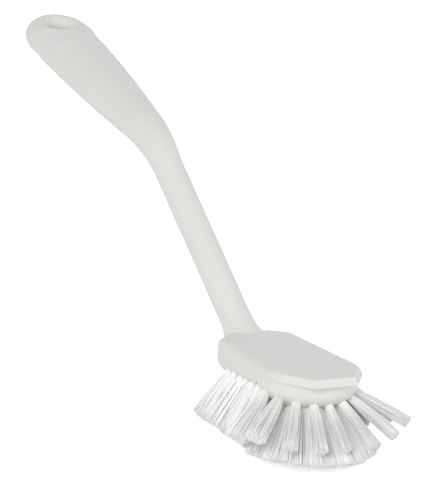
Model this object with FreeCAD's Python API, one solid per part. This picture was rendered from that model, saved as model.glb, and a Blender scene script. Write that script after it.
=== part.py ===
import FreeCAD, Part
import os
from math import acos, cos, hypot, pi, radians, sin, tan

# Dish brush with a scraper edge: one moulded body, filament tufts and anchor plates.
# Millimetres and degrees. While it is built, X=0 is the front edge of the head's top
# face, Z=0 is that face, the nose points to +X and the handle rises towards -X.

# Head, seen from above
side_length = 51.5          # back corner to front corner of the top plate, along X
front_taper_length = 14.0   # front corner to scraper lip, along X
back_taper_length = 6.5     # back corner to heel, along X
heel_width = 19.0
back_width = 36.4
front_width = 42.6
lip_width = 20.2
heel_corner_radius = 3.0
back_corner_radius = 4.0
front_corner_radius = 12.0
lip_corner_radius = 0.6
nose_recess = 2.6           # wall below the lip stands this far behind it
nose_radius = 20.0

# Head, seen from the side
head_depth = 16.4           # at the heel
underside_slope = 1.3       # the head gets thinner towards the nose
bottom_round = 9.0
plate_thickness = 3.0
edge_round = 2.2            # rounded top edge along the sides and heel
round_steps = 4             # levels in each rounded edge
round_angle = 75.0          # a rounded edge turns this far before it meets the flat face
bevel_run = 2.0             # bevel along the nose and the scraper lip
bevel_drop = 2.5

# Handle
root_width = 18.0
root_thickness = 12.4
root_depth = 6.7            # axis of the handle's root below the top face
root_corner_inset = 2.0     # corner of the handle's axis inside the heel
root_bend_radius = 24.0
root_flare_end = 23.0       # the neck has its even width from here, along the axis
root_flare_length = 10.0
root_section_step = 3.0     # spacing of the cross sections as far as the flare's end
neck_width = 14.0
neck_thickness = 12.0
neck_slope = 37.3
neck_length = 112.9         # between the corners of the handle's bent axis
grip_bend_radius = 70.0
grip_slope = 15.2
grip_length = 114.2         # corner of the bent axis to the handle's end
grip_width = 32.4
grip_thickness = 19.2
grip_end_round = 16.2       # length of the rounded end
section_step = 8.0          # spacing of the handle's cross sections

# Hang hole
hang_hole_diameter = 12.0
hang_hole_round = 4.2
edge_tolerance = 0.01       # for finding the mouths of the hole

# Tuft holes
hole_diameter = 3.8
hole_depth = 5.0
outer_nose_inset = 3.0      # hole mouths inside the wall
outer_corner_inset = 0.6
outer_back_inset = 1.5
second_inset = 6.8
third_inset = 12.7
side_pitch = 5.4
third_pitch = 9.0
centre_pitch = 8.6
nose_step = 22.5            # angle between holes round the nose
third_step = 60.0
outer_nose_holes = 9
second_nose_holes = 8
third_nose_holes = 3
outer_side_holes = 6
second_side_holes = 5
third_side_holes = 3
centre_holes = 5
heel_hole_inset = 12.5      # rearmost pair, from the heel
heel_hole_spacing = 10.8

# Tufts
tuft_clearance = 0.08
straight_past_mouth = 1.5
tip_clearance = 0.5         # least gap between the ends of neighbours in a row
outer_tip_along = 5.6       # widest tuft end, along its row
inner_tip_along = 9.0
tip_across = 4.4
fan_share = 0.75            # share of the nose angle that a tuft points to
back_fan_angle = 110.0      # plan direction of the rearmost side tufts
heel_fan_angle = 165.0
corner_angle = 67.5         # nose angle of the most splayed tufts
side_angle = 90.0           # nose angle where the sides begin
calm_angle = 112.5          # nose angle where the splay would come down to that of the sides
outer_nose_tilt = 50.0      # from vertical
outer_corner_tilt = 67.0
outer_side_tilt = 30.0
second_nose_tilt = 42.0
second_corner_tilt = 44.0
second_side_tilt = 25.0
third_tilt = 24.0
heel_tilt = 22.0
outer_nose_length = 22.0    # filaments showing past the hole's mouth
outer_corner_length = 26.8
outer_side_length = 22.5
second_nose_length = 26.5
second_corner_length = 25.5
second_side_length = 22.5
third_length = 23.5
centre_length = 22.0

# Anchor plates
anchor_thickness = 0.3
anchor_height = 1.8
anchor_bite = 0.35          # each end pressed into the wall of the hole
anchor_lift = 0.8           # folded filaments between the plate and the hole's end
anchor_clearance = 0.05

V = FreeCAD.Vector
lip_x = bevel_run
front_x = lip_x - front_taper_length
back_x = front_x - side_length
heel_x = back_x - back_taper_length
nose_x = lip_x - nose_recess
nose_centre_x = nose_x - nose_radius
straight_wall = head_depth - bottom_round
round_turns = [radians(round_angle) * k / round_steps for k in range(round_steps + 1)]
round_run = 1 - cos(round_turns[-1])
round_drop = sin(round_turns[-1])
round_levels = [((1 - cos(turn)) / round_run, sin(turn) / round_drop) for turn in round_turns]


def between(start, end, share):
    """Value part of the way from start to end."""
    return start + (end - start) * share


def half_width_at(x):
    """Half the width between the tapered side walls at x."""
    share = (x - back_x) / side_length
    return (back_width + (front_width - back_width) * share) / 2


def edge_line(start, end, inset):
    """Outward normal and offset of an outline's edge after it moves inwards."""
    length = hypot(end[0] - start[0], end[1] - start[1])
    nx = (end[1] - start[1]) / length
    ny = (start[0] - end[0]) / length
    return nx, ny, nx * start[0] + ny * start[1] - inset


def crossing(first, second):
    """Point where two edge lines meet."""
    a, b, c = first
    d, e, f = second
    scale = a * e - b * d
    return (c * e - b * f) / scale, (a * f - c * d) / scale


def rounded_outline(corners, radii, insets, z):
    """Closed wire at height z through anticlockwise corners, each edge moved in by its inset."""
    count = len(corners)
    lines = [edge_line(corners[k], corners[(k + 1) % count], insets[k]) for k in range(count)]
    points = [V(*crossing(lines[k - 1], lines[k]), z) for k in range(count)]
    arcs = []
    for k in range(count):
        back = (points[k - 1] - points[k]).normalize()
        ahead = (points[(k + 1) % count] - points[k]).normalize()
        half_angle = back.getAngle(ahead) / 2
        reach = radii[k] / tan(half_angle)
        middle = (back + ahead).normalize() * (radii[k] / sin(half_angle) - radii[k])
        arcs.append((points[k] + back * reach, points[k] + middle, points[k] + ahead * reach))
    edges = []
    for k in range(count):
        edges.append(Part.Arc(*arcs[k]).toShape())
        edges.append(Part.makeLine(arcs[k][2], arcs[(k + 1) % count][0]))
    return Part.Wire(edges)


def both_sides(half):
    """Starboard half of an outline, heel to nose, completed with its port half."""
    return half + [(x, -y) for x, y in reversed(half)]


def plate_outline(side_inset, front_inset, z):
    """Top plate: heel, back corners, front corners and scraper lip."""
    half = [(heel_x, -heel_width / 2), (back_x, -back_width / 2),
            (front_x, -front_width / 2), (lip_x, -lip_width / 2)]
    radii = [heel_corner_radius, back_corner_radius, front_corner_radius, lip_corner_radius]
    half_insets = [side_inset, side_inset, front_inset]
    insets = half_insets + [front_inset] + half_insets[::-1] + [side_inset]
    return rounded_outline(both_sides(half), radii + radii[::-1], insets, z)


def hull_outline(inset, z):
    """Head below the top plate: the same sides with a round nose."""
    half = [(heel_x, -heel_width / 2), (back_x, -back_width / 2), (nose_x, -half_width_at(nose_x))]
    radii = [heel_corner_radius, back_corner_radius, nose_radius - inset]
    return rounded_outline(both_sides(half), radii + radii[::-1], [inset] * 6, z)


def underside_level(run, drop):
    """Outline part of the way round the bottom edge; it takes on the underside's slope with depth."""
    outline = hull_outline(bottom_round * run, -straight_wall - bottom_round * drop)
    tilt = FreeCAD.Matrix()
    tilt.A31 = tan(radians(underside_slope)) * drop
    tilt.A34 = -heel_x * tilt.A31
    return outline.transformGeometry(tilt)


def make_head():
    """Head with its rounded bottom, rounded and bevelled top edge and scraper lip."""
    hull = Part.makeLoft([underside_level(run, drop) for run, drop in round_levels], True, False)
    wall_height = V(0, 0, straight_wall - plate_thickness)
    wall = Part.Face(hull_outline(0, -straight_wall)).extrude(wall_height)
    plate_height = V(0, 0, plate_thickness - bevel_drop)
    plate = Part.Face(plate_outline(0, 0, -plate_thickness)).extrude(plate_height)
    rim_levels = [plate_outline(edge_round * run, bevel_run * drop, bevel_drop * (drop - 1))
                  for run, drop in round_levels]
    rim = Part.makeLoft(rim_levels, True, False)
    return hull.fuse([wall, plate, rim])


# The handle's axis: root bend, straight neck, grip bend and straight grip
root_bend_length = root_bend_radius * radians(neck_slope)
root_bend_reach = root_bend_radius * tan(radians(neck_slope / 2))
grip_turn = grip_slope - neck_slope
grip_bend_length = grip_bend_radius * radians(-grip_turn)
grip_bend_reach = grip_bend_radius * tan(radians(-grip_turn / 2))
neck_run = neck_length - root_bend_reach - grip_bend_reach
grip_run = grip_length - grip_bend_reach - grip_end_round
swell_start = root_bend_length + neck_run
axis_length = swell_start + grip_bend_length + grip_run


def axis_at(distance):
    """Point and slope of the handle's axis at a distance from the start of the root bend."""
    point = V(heel_x + root_corner_inset + root_bend_reach, 0, -root_depth)
    slope = 0
    left = distance
    for length, turn in ((root_bend_length, neck_slope), (neck_run, 0),
                         (grip_bend_length, grip_turn), (grip_run, 0)):
        step = min(left, length)
        bend = turn * step / length
        half_bend = radians(bend / 2)
        chord = step * (sin(half_bend) / half_bend if bend else 1)
        heading = radians(slope) + half_bend
        point = point + V(-cos(heading), 0, sin(heading)) * chord
        slope = slope + bend
        left = left - step
    return point, slope


def across(slope):
    """Unit vector square to the handle's axis, on its upper side."""
    return V(sin(radians(slope)), 0, cos(radians(slope)))


def oval(centre, along, over, half_along, half_over):
    """Elliptical wire with its half sizes given in two square directions."""
    edge = Part.Ellipse(V(0, 0, 0), half_along, half_over).toShape()
    turn = FreeCAD.Rotation(along, over, along.cross(over), "XYZ")
    return Part.Wire(edge.transformed(FreeCAD.Placement(centre, turn).toMatrix()))


def handle_section(distance):
    """Cross section of the handle: flared root, even neck, swelling grip."""
    flare = min(1, max(0, (root_flare_end - distance) / root_flare_length)) ** 2
    swell = max(0, distance - swell_start) / (axis_length - swell_start)
    grown = sin(swell * pi / 2)
    width = neck_width + (root_width - neck_width) * flare + (grip_width - neck_width) * grown
    thickness = (neck_thickness + (root_thickness - neck_thickness) * flare
                 + (grip_thickness - neck_thickness) * grown)
    point, slope = axis_at(distance)
    return oval(point, V(0, 1, 0), across(slope), width / 2, thickness / 2)


def make_handle():
    """Bent handle from inside the head to the base of its rounded end."""
    root_count = round(root_flare_end / root_section_step)
    count = round((axis_length - root_flare_end) / section_step)
    places = [root_flare_end * k / root_count for k in range(root_count)]
    places += [between(root_flare_end, axis_length, k / count) for k in range(count + 1)]
    return Part.makeLoft([handle_section(place) for place in places], True, False)


def make_handle_end():
    """Half ellipsoid that closes the grip."""
    point, slope = axis_at(axis_length)
    up = across(slope) * (grip_thickness / 2)
    out = V(-cos(radians(slope)), 0, sin(radians(slope))) * grip_end_round
    side = V(0, grip_width / 2, 0)
    half_ball = Part.makeSphere(1, V(0, 0, 0), V(0, 0, 1), 0, 90, 360)
    stretch = FreeCAD.Matrix(side.x, up.x, out.x, point.x,
                             side.y, up.y, out.y, point.y,
                             side.z, up.z, out.z, point.z,
                             0, 0, 0, 1)
    return half_ball.transformGeometry(stretch)


def make_hang_hole_cutter():
    """Straight bore through the rounded end, square to the grip."""
    point, slope = axis_at(axis_length)
    up = across(slope)
    return Part.makeCylinder(hang_hole_diameter / 2, 2 * grip_thickness, point - up * grip_thickness, up)


def hang_hole_edges(body):
    """Both mouths of the hang hole."""
    point, slope = axis_at(axis_length)
    up = across(slope)
    found = []
    for edge in body.Edges:
        offsets = [edge.valueAt(edge.getParameterByLength(edge.Length * share)) - point
                   for share in (0.2, 0.5, 0.8)]
        gaps = [abs((offset - up * offset.dot(up)).Length - hang_hole_diameter / 2) for offset in offsets]
        spread = (offsets[2] - offsets[0]).cross(up).Length
        if max(gaps) < edge_tolerance < spread:
            found.append(edge)
    return found


def plan(angle):
    """Level unit vector at an angle from the nose direction."""
    return V(cos(radians(angle)), sin(radians(angle)), 0)


def underside_at(x, inset):
    """Height of the head's sloping underside at x and at a distance inside its wall."""
    depth = bottom_round - (x - heel_x) * tan(radians(underside_slope))
    if inset >= bottom_round:
        return -straight_wall - depth
    turn = acos(1 - round_run * inset / bottom_round)
    return -straight_wall - depth * sin(turn) / round_drop


def site(x, y, inset, fan_angle, tilt, length):
    """Mouth of a tuft hole, the way its tuft points, the direction of its row and the tuft's length."""
    way = plan(fan_angle) * sin(radians(tilt)) - V(0, 0, cos(radians(tilt)))
    return V(x, y, underside_at(x, inset)), way, plan(fan_angle + 90), length


def round_nose(values, turn):
    """Nose, corner and side values blended at an angle from the nose."""
    nose, corner, side = values
    if turn > corner_angle:
        return between(corner, side, (turn - corner_angle) / (calm_angle - corner_angle))
    return between(nose, corner, turn / corner_angle)


def nose_sites(insets, count, step, tilts, lengths):
    """Holes round the nose; the tufts fan out and splay most at the front corners."""
    sites = []
    for k in range(count):
        angle = (k - (count - 1) / 2) * step
        turn = abs(angle)
        inset = between(insets[0], insets[1], turn / side_angle)
        mouth = V(nose_centre_x, 0, 0) + plan(angle) * (nose_radius - inset)
        tilt = round_nose(tilts, turn)
        sites.append(site(mouth.x, mouth.y, inset, angle * fan_share, tilt, round_nose(lengths, turn)))
    return sites


def side_sites(insets, count, first, pitch, tilt, length, hand):
    """Holes along one side, from the nose to the back."""
    sites = []
    for k in range(count):
        x = nose_centre_x - first - k * pitch
        angle = between(side_angle * fan_share, back_fan_angle, (k + 1) / count)
        inset = between(insets[1], insets[2], (k + 1) / count)
        sites.append(site(x, hand * (half_width_at(x) - inset), inset, hand * angle, tilt, length))
    return sites


def ring_sites(insets, nose_count, step, side_count, first, pitch, tilts, lengths):
    """One row round the head, from the back of one side to the back of the other."""
    starboard = side_sites(insets, side_count, first, pitch, tilts[2], lengths[2], -1)
    port = side_sites(insets, side_count, first, pitch, tilts[2], lengths[2], 1)
    return starboard[::-1] + nose_sites(insets, nose_count, step, tilts, lengths) + port


def heel_sites():
    """Rearmost pair of holes."""
    x = heel_x + heel_hole_inset
    y = heel_hole_spacing / 2
    return [site(x, hand * y, heel_hole_inset, hand * heel_fan_angle, heel_tilt, outer_side_length)
            for hand in (1, -1)]


def centre_sites():
    """Upright tufts on the centre line."""
    return [site(nose_centre_x - k * centre_pitch, 0, nose_radius, side_angle, 0, centre_length)
            for k in range(centre_holes)]


def tip_widths(sites, widest):
    """Size of each tuft's end along its row, as its nearest neighbour in the row allows."""
    tips = [mouth + way * length for mouth, way, along, length in sites]
    widths = []
    for k, tip in enumerate(tips):
        nearest = min((tip - other).Length for j, other in enumerate(tips) if j != k)
        widths.append(min(widest, nearest - tip_clearance))
    return widths


def make_hole(hole_site):
    """Blind hole cutter from its flat end to past the head's underside."""
    mouth, way, along, length = hole_site
    return Part.makeCylinder(hole_diameter / 2, 2 * hole_depth, mouth - way * hole_depth, way)


def make_plate(hole_site, growth):
    """Anchor plate across the end of a hole, grown by a clearance in height and thickness."""
    mouth, way, along, tuft_length = hole_site
    over = way.cross(along)
    length = hole_diameter + 2 * anchor_bite
    height = anchor_height + 2 * growth
    thickness = anchor_thickness + 2 * growth
    corner = mouth - way * (hole_depth - anchor_lift + growth) - along * (length / 2) - over * (thickness / 2)
    points = [corner, corner + along * length, corner + along * length + way * height, corner + way * height]
    return Part.Face(Part.makePolygon(points + points[:1])).extrude(over * thickness)


def make_tuft(hole_site, width):
    """Filament tuft: round in its hole, then spreading to its trimmed end."""
    mouth, way, along, length = hole_site
    over = way.cross(along)
    root = hole_diameter / 2 - tuft_clearance
    sections = [oval(mouth - way * hole_depth, along, over, root, root),
                oval(mouth + way * straight_past_mouth, along, over, root, root),
                oval(mouth + way * length, along, over, width / 2, tip_across / 2)]
    return Part.makeLoft(sections, True, True).cut(make_plate(hole_site, anchor_clearance))


rows = {
    "outer": ring_sites((outer_nose_inset, outer_corner_inset, outer_back_inset), outer_nose_holes,
                        nose_step, outer_side_holes, side_pitch, side_pitch,
                        (outer_nose_tilt, outer_corner_tilt, outer_side_tilt),
                        (outer_nose_length, outer_corner_length, outer_side_length)) + heel_sites(),
    "second": ring_sites([second_inset] * 3, second_nose_holes, nose_step,
                         second_side_holes, side_pitch / 2, side_pitch,
                         (second_nose_tilt, second_corner_tilt, second_side_tilt),
                         (second_nose_length, second_corner_length, second_side_length)),
    "third": ring_sites([third_inset] * 3, third_nose_holes, third_step,
                        third_side_holes, third_pitch / 2, third_pitch,
                        [third_tilt] * 3, [third_length] * 3),
    "centre": centre_sites(),
}
all_sites = [one for sites in rows.values() for one in sites]

# Moulded body: head, handle and rounded end, then the hang hole and the tuft holes
body = make_head().fuse([make_handle(), make_handle_end()]).removeSplitter()
body = body.cut(make_hang_hole_cutter())
body = body.makeFillet(hang_hole_round, hang_hole_edges(body))
body = body.cut([make_hole(one) for one in all_sites])
body = body.cut([make_plate(one, 0) for one in all_sites])

nodes = {"brush_body": body}
for row, sites in rows.items():
    widths = tip_widths(sites, outer_tip_along if row == "outer" else inner_tip_along)
    for number, (one, width) in enumerate(zip(sites, widths), 1):
        nodes["tuft_%s_%02d" % (row, number)] = make_tuft(one, width)
    nodes["anchors_" + row] = Part.makeCompound([make_plate(one, 0) for one in sites])

# Final place: Z=0 under the lowest filaments, X=0 halfway along the brush
box = Part.makeCompound(list(nodes.values())).optimalBoundingBox(False, False)
move = V(-box.Center.x, 0, -box.ZMin)
os.makedirs("parts", exist_ok=True)
for name, shape in nodes.items():
    shape.translated(move).exportStep("parts/%s.step" % name)
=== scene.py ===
import random
from collections import namedtuple
from math import atan, cos, pi, radians, sin, sqrt

import bmesh
import bpy
import numpy as np
from bpy.props import EnumProperty, FloatProperty, FloatVectorProperty, IntProperty, PointerProperty, StringProperty
from mathutils import Matrix, Vector


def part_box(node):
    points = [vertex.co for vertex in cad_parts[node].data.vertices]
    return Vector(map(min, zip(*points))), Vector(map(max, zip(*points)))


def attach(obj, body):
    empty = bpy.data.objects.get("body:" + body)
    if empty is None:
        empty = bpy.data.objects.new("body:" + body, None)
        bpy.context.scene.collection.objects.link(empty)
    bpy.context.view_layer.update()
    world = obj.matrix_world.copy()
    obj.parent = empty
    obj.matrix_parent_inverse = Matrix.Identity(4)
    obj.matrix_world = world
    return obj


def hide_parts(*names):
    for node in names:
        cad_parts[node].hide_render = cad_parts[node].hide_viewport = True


bl_info = {
    "name": "Dish Brush",
    "version": (1, 0, 0),
    "blender": (4, 5, 0),
    "location": "View3D > Sidebar > Brush",
    "description": "Finishes a moulded dish brush with filament tufts and sets it on a pale stage",
    "category": "Object",
}

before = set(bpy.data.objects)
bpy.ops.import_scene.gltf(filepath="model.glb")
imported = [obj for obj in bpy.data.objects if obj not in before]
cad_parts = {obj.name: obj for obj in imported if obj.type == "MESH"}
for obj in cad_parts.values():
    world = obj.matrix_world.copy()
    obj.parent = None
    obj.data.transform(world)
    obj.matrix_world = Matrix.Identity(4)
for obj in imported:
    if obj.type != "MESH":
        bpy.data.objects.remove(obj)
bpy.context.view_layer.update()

MM = 0.001
IMAGE_HEIGHT = 480
ROWS = ("outer", "second", "third", "centre")
BODY = "root"
WHITE = (1, 1, 1, 1)
GOLDEN_ANGLE = pi * (3 - sqrt(5))
# Shares of a filament's length that get a ring of vertices
FILAMENT_STATIONS = (0.1, 0.3, 0.5, 0.7, 0.85)
# Length of a tuft's solid that counts as its end
END_BAND = 0.6 * MM
# Decimal places of a metre to which vertices at one place agree
WELD_DIGITS = 6

Tuft = namedtuple("Tuft", "root way length along over end_sizes root_radius")
Fan = namedtuple("Fan", "along across clearness")


def linear(hex_colour):
    """Linear RGBA of an sRGB hex colour."""
    channels = [int(hex_colour[k:k + 2], 16) / 255 for k in (0, 2, 4)]
    return [c / 12.92 if c <= 0.04045 else ((c + 0.055) / 1.055) ** 2.4 for c in channels] + [1.0]


def between(start, end, share):
    """Value part of the way from start to end."""
    return start + (end - start) * share


def add_node(tree, kind, inputs=None, links=None, **settings):
    """Adds a node with its settings, its socket values and the sockets linked to it."""
    node = tree.nodes.new(kind)
    for key, value in settings.items():
        setattr(node, key, value)
    for key, value in (inputs or {}).items():
        node.inputs[key].default_value = value
    for key, socket in (links or {}).items():
        tree.links.new(socket, node.inputs[key])
    return node


def new_material(name):
    """New material with an empty node tree."""
    material = bpy.data.materials.new(name)
    material.use_nodes = True
    material.node_tree.nodes.clear()
    return material, material.node_tree


def finished_mesh(name, shape):
    """Mesh of a finished bmesh, which is freed."""
    mesh = bpy.data.meshes.new(name)
    shape.to_mesh(mesh)
    shape.free()
    return mesh


def place(name, data):
    """Object in the scene for a mesh, a light or a camera."""
    thing = bpy.data.objects.new(name, data)
    bpy.context.scene.collection.objects.link(thing)
    return thing


class BodySettings(bpy.types.PropertyGroup):
    """Finish of the moulded body."""
    colour: StringProperty(name="Colour", description="White of the moulding, sRGB hex", default="DFDEDC")
    cloud_colour: StringProperty(name="Cloud colour", description="Slightly duller white of the flow clouds",
                                 default="DBDAD7")
    # Painted glow and shade: a warmer, slightly darker white painted towards the underside for light let through the
    # webs and shade in the hole mouths
    glow_and_shade_colour: StringProperty(name="Thin wall colour", description="Warmer white between the tuft holes",
                                default="DAD2C2")
    cloud_size: FloatProperty(name="Cloud size", description="Size of the flow clouds", default=30 * MM,
                              unit="LENGTH")
    grain_size: FloatProperty(name="Grain size", description="Size of the mould's fine spark grain",
                              default=0.7 * MM, unit="LENGTH")
    grain_depth: FloatProperty(name="Grain depth", description="Depth of the spark grain", default=0.012 * MM,
                               unit="LENGTH")
    # Height of the band of painted glow and shade above the underside
    glow_and_shade_height: FloatProperty(name="Warm height", description="Height of the warm band above the underside",
                               default=7 * MM, unit="LENGTH")
    roughness: FloatProperty(name="Roughness", description="Roughness of the satin surface", default=0.42,
                             subtype="FACTOR", min=0, max=1)
    ior: FloatProperty(name="IOR", description="Refractive index of polypropylene", default=1.49)
    glow_share: FloatProperty(name="Glow share", description="Share of the light that spreads under the surface",
                              default=0.1, subtype="FACTOR", min=0, max=1)
    glow_reach: FloatVectorProperty(name="Glow reach", description="Reach of each colour of light under it",
                                    default=(1.5 * MM, 1.3 * MM, 1.1 * MM))


class AnchorSettings(bpy.types.PropertyGroup):
    """Finish of the anchor plates."""
    colour: StringProperty(name="Colour", description="Grey of the stainless strip, sRGB hex", default="C2C2C4")
    line_size: FloatProperty(name="Line size", description="Spacing of the rolling lines", default=0.3 * MM,
                             unit="LENGTH")
    smoothest: FloatProperty(name="Smoothest", description="Roughness in the smoothest lines", default=0.28,
                             subtype="FACTOR", min=0, max=1)
    roughest: FloatProperty(name="Roughest", description="Roughness in the roughest lines", default=0.45,
                            subtype="FACTOR", min=0, max=1)


class TuftSettings(bpy.types.PropertyGroup):
    """Filaments of every tuft."""
    filament_count: IntProperty(name="Filaments", description="Filament ends in a tuft", default=210, min=1)
    filament_diameter: FloatProperty(name="Filament diameter", description="Thickness of one filament",
                                     default=0.45 * MM, unit="LENGTH")
    hole_depth: FloatProperty(name="Hole depth", description="Depth of a tuft's hole", default=5 * MM,
                              unit="LENGTH")
    plate_top: FloatProperty(name="Anchor top", description="Top of the anchor plate above the end of the hole",
                             default=2.8 * MM, unit="LENGTH")
    stray: FloatProperty(name="Stray", description="Scatter of the filament ends", default=0.28 * MM,
                         unit="LENGTH")
    ragged: FloatProperty(name="Ragged", description="Unevenness of the trimmed ends", default=1.0 * MM,
                          unit="LENGTH")
    bow: FloatProperty(name="Bow", description="Largest sideways bow of a filament", default=0.35 * MM,
                       unit="LENGTH")
    root_fill: FloatProperty(name="Root fill", description="Filaments at the hole's mouth against the solid",
                             default=0.94, subtype="FACTOR", min=0, max=1)
    side_spread: FloatProperty(name="Side spread", description="Ends of an outer side tuft against its solid",
                               default=1.8)
    across_spread: FloatProperty(name="Across spread", description="Ends of an outer side tuft across its row",
                                 default=1.3)
    nose_across: FloatProperty(name="Nose across", description="Ends of an outer nose tuft across its row",
                               default=0.75)
    nose_spread: FloatProperty(name="Nose spread", description="Ends of an outer nose tuft against its solid",
                               default=0.62)
    inner_spread: FloatProperty(name="Inner spread", description="Ends of an inner tuft against its solid",
                                default=1.6)
    milky_colour: StringProperty(name="Milky colour", description="White of a milky filament, sRGB hex",
                                 default="FFFFFE")
    # Grey used both for the random tone of the filaments and for the painted shade on the outer nose tufts
    grey_and_shade_colour: StringProperty(name="Clear colour", description="Grey of a clearer filament, sRGB hex",
                                 default="BEBEBD")
    strand_clearness: FloatProperty(name="Strand clearness", description="Largest clearness of a single filament",
                                    default=0.34, subtype="FACTOR", min=0, max=1)
    # Painted shade on the outer nose tufts: its strength half way along, its share on the least shaded tuft and its
    # waves along a filament
    row_shade: FloatProperty(name="Row clearness", description="Clearness half way along the nose's outer tufts",
                                 default=0.66, subtype="FACTOR", min=0, max=1)
    least_shade: FloatProperty(name="Least clearness", description="Clearness of the milkiest tuft of its row",
                                   default=0.6, subtype="FACTOR", min=0, max=1)
    shade_wave: FloatProperty(name="Clear wave", description="Half waves of clearness along a filament", default=0.8)
    fan_power: FloatProperty(name="Fan power", description="Curve of the fan: under 1 it opens near the hole",
                             default=0.55)
    roughness: FloatProperty(name="Roughness", description="Roughness of a filament", default=0.35,
                             subtype="FACTOR", min=0, max=1)
    ior: FloatProperty(name="IOR", description="Refractive index of polyester", default=1.57)
    sides: IntProperty(name="Sides", description="Sides of a filament", default=5, min=3)
    seed: IntProperty(name="Seed", description="Seed of the scatter", default=7)


class StageSettings(bpy.types.PropertyGroup):
    """Floor, lights and camera."""
    floor_colour: StringProperty(name="Floor colour", description="Colour of the floor, sRGB hex", default="F4F4F3")
    floor_roughness: FloatProperty(name="Floor roughness", description="Roughness of the matt floor", default=0.9,
                                   subtype="FACTOR", min=0, max=1)
    floor_size: FloatProperty(name="Floor size", description="Width of the floor", default=6, unit="LENGTH")
    floor_lift: FloatProperty(name="Floor lift", description="Light added to the floor as the camera sees it",
                              default=0.68)
    ambient: FloatProperty(name="Ambient", description="Strength of the surrounding light", default=0.56)
    light_distance: FloatProperty(name="Light distance", description="Brush to each light", default=1.6,
                                  unit="LENGTH")
    light_size: FloatProperty(name="Light size", description="Width of each light", default=0.8, unit="LENGTH")
    key_power: FloatProperty(name="Key power", description="Power of the light on the left", default=11.6,
                             unit="POWER")
    key_direction: FloatVectorProperty(name="Key direction", description="Way from the brush to the left light",
                                       default=(0.64, -0.64, 0.42), subtype="DIRECTION")
    fill_power: FloatProperty(name="Fill power", description="Power of the low light on the right", default=4.4,
                              unit="POWER")
    fill_direction: FloatVectorProperty(name="Fill direction", description="Way from the brush to the right light",
                                        default=(0.7, 0.65, 0.35), subtype="DIRECTION")
    camera_target: FloatVectorProperty(name="Camera target", description="Point that the camera looks at",
                                       default=(8.79 * MM, 12.44 * MM, 63.99 * MM), subtype="TRANSLATION")
    camera_azimuth: FloatProperty(name="Camera azimuth", description="Direction of the camera, from -Y to +X",
                                  default=radians(58.715), subtype="ANGLE")
    camera_elevation: FloatProperty(name="Camera elevation", description="Height of the camera",
                                    default=radians(14.646), subtype="ANGLE")
    camera_roll: FloatProperty(name="Camera roll", description="Turn of the camera about its line of sight",
                               default=radians(4.393), subtype="ANGLE")
    camera_distance: FloatProperty(name="Camera distance", description="Camera to its target", default=1.3547,
                                   unit="LENGTH")
    focal_pixels: FloatProperty(name="Focal length", description="Focal length in pixels of the image",
                                default=3133.7)


def object_noise(tree, size, detail):
    """Noise whose features have a real size, on Object coordinates."""
    spot = add_node(tree, "ShaderNodeTexCoord")
    return add_node(tree, "ShaderNodeTexNoise", {"Scale": 1 / size, "Detail": detail},
                    {"Vector": spot.outputs["Object"]})


def moulded_polypropylene(look):
    """Injection-moulded white polypropylene: satin, with soft flow clouds and a fine spark grain.

    Towards the underside, where the tuft holes are, the white turns warmer and slightly darker: a painted glow of
    light let through the webs and painted shade in the hole mouths."""
    material, tree = new_material("moulded_polypropylene")
    clouds = object_noise(tree, look.cloud_size, detail=2)
    grain = object_noise(tree, look.grain_size, detail=3)
    white = add_node(tree, "ShaderNodeMix", {"A": linear(look.colour), "B": linear(look.cloud_colour)},
                     {"Factor": clouds.outputs["Fac"]}, data_type="RGBA")
    spot = add_node(tree, "ShaderNodeTexCoord")
    height = add_node(tree, "ShaderNodeSeparateXYZ", links={"Vector": spot.outputs["Object"]})
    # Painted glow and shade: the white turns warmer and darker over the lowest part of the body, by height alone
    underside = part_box("brush_body")[0].z
    glow_and_shade_band = add_node(tree, "ShaderNodeMapRange",
                    {"From Min": underside + look.glow_and_shade_height, "From Max": underside},
                    {"Value": height.outputs["Z"]}, interpolation_type="SMOOTHSTEP")
    colour = add_node(tree, "ShaderNodeMix", {"B": linear(look.glow_and_shade_colour)},
                      {"Factor": glow_and_shade_band.outputs["Result"], "A": white.outputs["Result"]}, data_type="RGBA")
    bump = add_node(tree, "ShaderNodeBump", {"Distance": look.grain_depth}, {"Height": grain.outputs["Fac"]})
    surface = add_node(tree, "ShaderNodeBsdfPrincipled",
                       {"Roughness": look.roughness, "IOR": look.ior, "Subsurface Weight": look.glow_share,
                        "Subsurface Radius": look.glow_reach, "Subsurface Scale": 1.0},
                       {"Base Color": colour.outputs["Result"], "Normal": bump.outputs["Normal"]})
    add_node(tree, "ShaderNodeOutputMaterial", links={"Surface": surface.outputs["BSDF"]})
    return material


def drawn_polyester(look):
    """Drawn polyester filament: smooth and milky, greyer at random from filament to filament, with painted shade
    part way along the outer tufts at the nose.
    """
    material, tree = new_material("drawn_polyester_filament")
    # Attribute holding a random grey tone per filament plus painted shade part way along the outer nose tufts
    clearness = add_node(tree, "ShaderNodeAttribute", attribute_name="clearness")
    colour = add_node(tree, "ShaderNodeMix", {"A": linear(look.milky_colour), "B": linear(look.grey_and_shade_colour)},
                      {"Factor": clearness.outputs["Fac"]}, data_type="RGBA")
    surface = add_node(tree, "ShaderNodeBsdfPrincipled",
                       {"Roughness": look.roughness, "IOR": look.ior}, {"Base Color": colour.outputs["Result"]})
    add_node(tree, "ShaderNodeOutputMaterial", links={"Surface": surface.outputs["BSDF"]})
    return material


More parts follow.
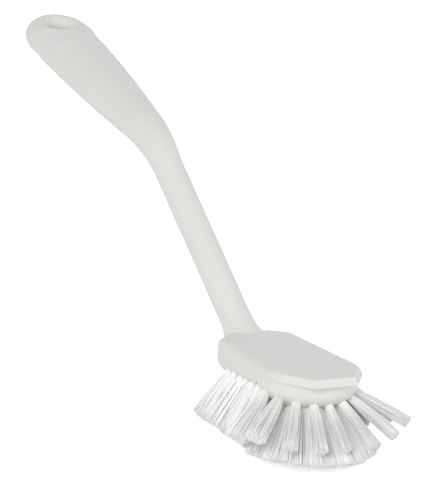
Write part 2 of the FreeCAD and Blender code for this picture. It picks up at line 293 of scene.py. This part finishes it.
def rolled_stainless(look):
    """Cold-rolled stainless strip: grey, with fine rolling lines that vary its gloss."""
    material, tree = new_material("rolled_stainless_strip")
    lines = object_noise(tree, look.line_size, detail=4)
    gloss = add_node(tree, "ShaderNodeMapRange", {"To Min": look.smoothest, "To Max": look.roughest},
                     {"Value": lines.outputs["Fac"]})
    surface = add_node(tree, "ShaderNodeBsdfPrincipled", {"Base Color": linear(look.colour), "Metallic": 1.0},
                       {"Roughness": gloss.outputs["Result"]})
    add_node(tree, "ShaderNodeOutputMaterial", links={"Surface": surface.outputs["BSDF"]})
    return material


def dress(node, material):
    """Gives a node of the frame its finish."""
    node.data.materials.clear()
    node.data.materials.append(material)


def principal_axes(points):
    """Main directions of a cloud of points, longest first."""
    return np.linalg.svd(points - points.mean(axis=0), full_matrices=False)[2]


def tuft_space(node):
    """Place, directions and sizes of a tuft's solid, found from its mesh."""
    points = np.unique(np.round([v.co[:] for v in node.data.vertices], WELD_DIGITS), axis=0)
    way = principal_axes(points)[0]
    way = way * -np.sign(way[2])
    reach = points @ way
    tip_ring = points[reach > reach.max() - END_BAND]
    root_ring = points[reach < reach.min() + END_BAND]
    tip = tip_ring.mean(axis=0)
    root = root_ring.mean(axis=0)
    length = np.linalg.norm(tip - root)
    way = (tip - root) / length
    along = principal_axes(tip_ring)[0]
    over = np.cross(way, along)
    sizes = [np.abs((tip_ring - tip) @ direction).max() for direction in (along, over)]
    root_radius = np.linalg.norm(root_ring - root, axis=1).max()
    return Tuft(Vector(root), Vector(way), length, Vector(along), Vector(over), sizes, root_radius)


def filament_template(sides, stations):
    """Mesh of one straight filament of unit radius from Z=0 to Z=1, with a ring at each station."""
    shape = bmesh.new()
    bmesh.ops.create_cone(shape, cap_ends=True, segments=sides, radius1=1, radius2=1, depth=1,
                          matrix=Matrix.Translation((0, 0, 0.5)))
    for station in stations:
        bmesh.ops.bisect_plane(shape, geom=shape.verts[:] + shape.edges[:] + shape.faces[:],
                               plane_co=(0, 0, station), plane_no=(0, 0, 1))
    for face in shape.faces:
        face.smooth = len(face.verts) == 4
    return finished_mesh("filament_template", shape)


def fan_of(tuft, look, chance, outer):
    """Spread of a tuft's ends along and across its row, and the painted shade on its filaments."""
    if not outer:
        return Fan(look.inner_spread, 1, 0)
    # 1 for a tuft that leans straight to the nose, 0 for one that leans to a side or the back
    front = max(0.0, tuft.way.x) ** 2 / (tuft.way.x ** 2 + tuft.way.y ** 2)
    # Painted shade: the more a tuft leans to the nose, the greyer its filaments are part way along
    clearness = look.row_shade * front * between(look.least_shade, 1, chance.random())
    return Fan(between(look.side_spread, look.nose_spread, front),
               between(look.across_spread, look.nose_across, front), clearness)


def add_straight(shape, template):
    """Adds a straight filament to a bundle and gives its vertices."""
    first = len(shape.verts)
    shape.from_mesh(template)
    shape.verts.ensure_lookup_table()
    return shape.verts[first:]


def grow_filament(number, shape, template, tuft, fan, look, chance):
    """Adds a filament that starts in the hole, opens with the fan and bows a little."""
    radius = look.filament_diameter / 2
    root_size = tuft.root_radius * look.root_fill - radius
    # Seeds of a sunflower fill a disc evenly
    share = sqrt((number + 0.5) / look.filament_count)
    angle = number * GOLDEN_ANGLE
    u = share * cos(angle)
    v = share * sin(angle)
    end = tuft.length - look.ragged * chance.random() ** 2
    end_u = u * fan.along * (tuft.end_sizes[0] - radius) + chance.gauss(0, look.stray)
    end_v = v * fan.across * (tuft.end_sizes[1] - radius) + chance.gauss(0, look.stray)
    bow_angle = chance.uniform(0, 2 * pi)
    bow = look.bow * chance.random()
    strand_clearness = look.strand_clearness * chance.random()
    tone_and_shade_layer = shape.verts.layers.float["clearness"]
    for vertex in add_straight(shape, template):
        reach = between(look.plate_top, end, vertex.co.z)
        opening = max(0.0, (reach - look.hole_depth) / (end - look.hole_depth))
        spread = opening ** look.fan_power
        swing = bow * sin(pi * opening)
        x = between(u * root_size, end_u, spread) + swing * cos(bow_angle)
        y = between(v * root_size, end_v, spread) + swing * sin(bow_angle)
        vertex.co = (tuft.root + tuft.way * reach + tuft.along * (x + vertex.co.x * radius)
                     + tuft.over * (y + vertex.co.y * radius))
        # Random grey tone of the filament plus painted shade that rises and falls along it
        vertex[tone_and_shade_layer] = strand_clearness + fan.clearness * sin(look.shade_wave * pi * opening)


def grow_tuft(name, node, look, template, material, chance, outer):
    """Bundle of filaments in the space of a tuft's solid."""
    tuft = tuft_space(node)
    fan = fan_of(tuft, look, chance, outer)
    shape = bmesh.new()
    shape.verts.layers.float.new("clearness")
    for number in range(look.filament_count):
        grow_filament(number, shape, template, tuft, fan, look, chance)
    bmesh.ops.recalc_face_normals(shape, faces=shape.faces[:])
    mesh = finished_mesh(name, shape)
    mesh.materials.append(material)
    piece = place(name, mesh)
    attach(piece, BODY)
    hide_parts(node.name)


class BRUSH_OT_body(bpy.types.Operator):
    """Finish the moulded body"""
    bl_idname = "brush.body"
    bl_label = "Moulded body"

    def execute(self, context):
        dress(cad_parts["brush_body"], moulded_polypropylene(context.scene.brush_body))
        return {"FINISHED"}


class BRUSH_OT_anchors(bpy.types.Operator):
    """Finish the anchor plates"""
    bl_idname = "brush.anchors"
    bl_label = "Anchor plates"

    def execute(self, context):
        steel = rolled_stainless(context.scene.brush_anchors)
        for row in ROWS:
            dress(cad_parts["anchors_" + row], steel)
        return {"FINISHED"}


class BRUSH_OT_tufts(bpy.types.Operator):
    """Grow the filaments of one row of tufts"""
    bl_idname = "brush.tufts"
    bl_label = "Row of tufts"

    row: EnumProperty(name="Row", description="Row of tufts round the head",
                      items=[(row, row.capitalize(), "Tufts of this row") for row in ROWS])

    def execute(self, context):
        look = context.scene.brush_tufts
        chance = random.Random(look.seed + ROWS.index(self.row))
        material = bpy.data.materials.get("drawn_polyester_filament") or drawn_polyester(look)
        template = filament_template(look.sides, FILAMENT_STATIONS)
        prefix = "tuft_%s_" % self.row
        outer = self.row == ROWS[0]
        for name in sorted(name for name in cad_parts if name.startswith(prefix)):
            grow_tuft(name.replace("tuft", "filaments"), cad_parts[name], look, template, material, chance,
                      outer)
        bpy.data.meshes.remove(template)
        return {"FINISHED"}


def seen_rays(tree):
    """Socket that is 1 for rays that show the stage to the eye, directly or in a gloss."""
    path = add_node(tree, "ShaderNodeLightPath")
    seen = add_node(tree, "ShaderNodeMath", links={0: path.outputs["Is Camera Ray"],
                                                   1: path.outputs["Is Glossy Ray"]}, operation="ADD")
    return seen.outputs["Value"]


def matt_paper(look):
    """Matt white background paper that the camera sees a little brighter than it is lit."""
    material, tree = new_material("matt_background_paper")
    paper = add_node(tree, "ShaderNodeBsdfPrincipled",
                     {"Base Color": linear(look.floor_colour), "Roughness": look.floor_roughness})
    lift = add_node(tree, "ShaderNodeMath", {1: look.floor_lift}, {0: seen_rays(tree)}, operation="MULTIPLY")
    glow = add_node(tree, "ShaderNodeEmission", links={"Strength": lift.outputs["Value"]})
    both = add_node(tree, "ShaderNodeAddShader", links={0: paper.outputs["BSDF"], 1: glow.outputs["Emission"]})
    add_node(tree, "ShaderNodeOutputMaterial", links={"Surface": both.outputs["Shader"]})
    return material


def lay_floor(look):
    """Level sheet of paper under the brush."""
    shape = bmesh.new()
    bmesh.ops.create_grid(shape, x_segments=1, y_segments=1, size=look.floor_size / 2)
    mesh = finished_mesh("floor", shape)
    mesh.materials.append(matt_paper(look))
    floor = place("floor", mesh)


def surround(look):
    """White surroundings with a plain level of light."""
    world = bpy.data.worlds.new("studio")
    world.use_nodes = True
    tree = world.node_tree
    tree.nodes.clear()
    light = add_node(tree, "ShaderNodeBackground", {"Color": WHITE, "Strength": look.ambient})
    white = add_node(tree, "ShaderNodeBackground", {"Color": WHITE, "Strength": 1})
    both = add_node(tree, "ShaderNodeMixShader", links={0: seen_rays(tree), 1: light.outputs["Background"],
                                                        2: white.outputs["Background"]})
    add_node(tree, "ShaderNodeOutputWorld", links={"Surface": both.outputs["Shader"]})
    bpy.context.scene.world = world


def hang_light(name, look, direction, power):
    """Square soft box that faces the brush."""
    lamp = bpy.data.lights.new(name, "AREA")
    lamp.size = look.light_size
    lamp.energy = power
    light = place(name, lamp)
    way = Vector(direction).normalized()
    light.location = Vector(look.camera_target) + way * look.light_distance
    light.rotation_euler = way.to_track_quat("Z", "Y").to_euler()


def set_camera(look):
    """Camera at the photograph's angle, with its sight line through the middle of the image."""
    target = Vector(look.camera_target)
    back = Vector((sin(look.camera_azimuth) * cos(look.camera_elevation),
                   -cos(look.camera_azimuth) * cos(look.camera_elevation),
                   sin(look.camera_elevation)))
    data = bpy.data.cameras.new("camera")
    data.sensor_fit = "VERTICAL"
    data.angle = 2 * atan(IMAGE_HEIGHT / 2 / look.focal_pixels)
    camera = place("camera", data)
    upright = back.to_track_quat("Z", "Y").to_matrix().to_4x4()
    camera.matrix_world = (Matrix.Translation(target + back * look.camera_distance) @ upright
                           @ Matrix.Rotation(look.camera_roll, 4, "Z"))
    bpy.context.scene.camera = camera


class BRUSH_OT_stage(bpy.types.Operator):
    """Set the floor, the lights and the camera"""
    bl_idname = "brush.stage"
    bl_label = "Stage"

    def execute(self, context):
        look = context.scene.brush_stage
        context.scene.view_settings.view_transform = "Standard"
        lay_floor(look)
        surround(look)
        hang_light("key_soft_box", look, look.key_direction, look.key_power)
        hang_light("fill_soft_box", look, look.fill_direction, look.fill_power)
        set_camera(look)
        return {"FINISHED"}


class BRUSH_PT_panel(bpy.types.Panel):
    """Buttons for the pieces of the brush"""
    bl_idname = "BRUSH_PT_panel"
    bl_label = "Dish brush"
    bl_space_type = "VIEW_3D"
    bl_region_type = "UI"
    bl_category = "Brush"

    def draw(self, context):
        scene = context.scene
        for look in (scene.brush_body, scene.brush_anchors, scene.brush_tufts, scene.brush_stage):
            for name in look.__annotations__:
                self.layout.prop(look, name)
        self.layout.operator("brush.body")
        self.layout.operator("brush.anchors")
        for row in ROWS:
            self.layout.operator("brush.tufts", text="%s tufts" % row.capitalize()).row = row
        self.layout.operator("brush.stage")


CLASSES = (BodySettings, AnchorSettings, TuftSettings, StageSettings, BRUSH_OT_body, BRUSH_OT_anchors,
           BRUSH_OT_tufts, BRUSH_OT_stage, BRUSH_PT_panel)


def register():
    for one in CLASSES:
        bpy.utils.register_class(one)
    bpy.types.Scene.brush_body = PointerProperty(type=BodySettings)
    bpy.types.Scene.brush_anchors = PointerProperty(type=AnchorSettings)
    bpy.types.Scene.brush_tufts = PointerProperty(type=TuftSettings)
    bpy.types.Scene.brush_stage = PointerProperty(type=StageSettings)


def unregister():
    del bpy.types.Scene.brush_stage
    del bpy.types.Scene.brush_tufts
    del bpy.types.Scene.brush_anchors
    del bpy.types.Scene.brush_body
    for one in reversed(CLASSES):
        bpy.utils.unregister_class(one)


def main():
    register()
    bpy.ops.brush.body()
    bpy.ops.brush.anchors()
    for row in ROWS:
        bpy.ops.brush.tufts(row=row)
    bpy.ops.brush.stage()


if __name__ == "__main__":
    main()
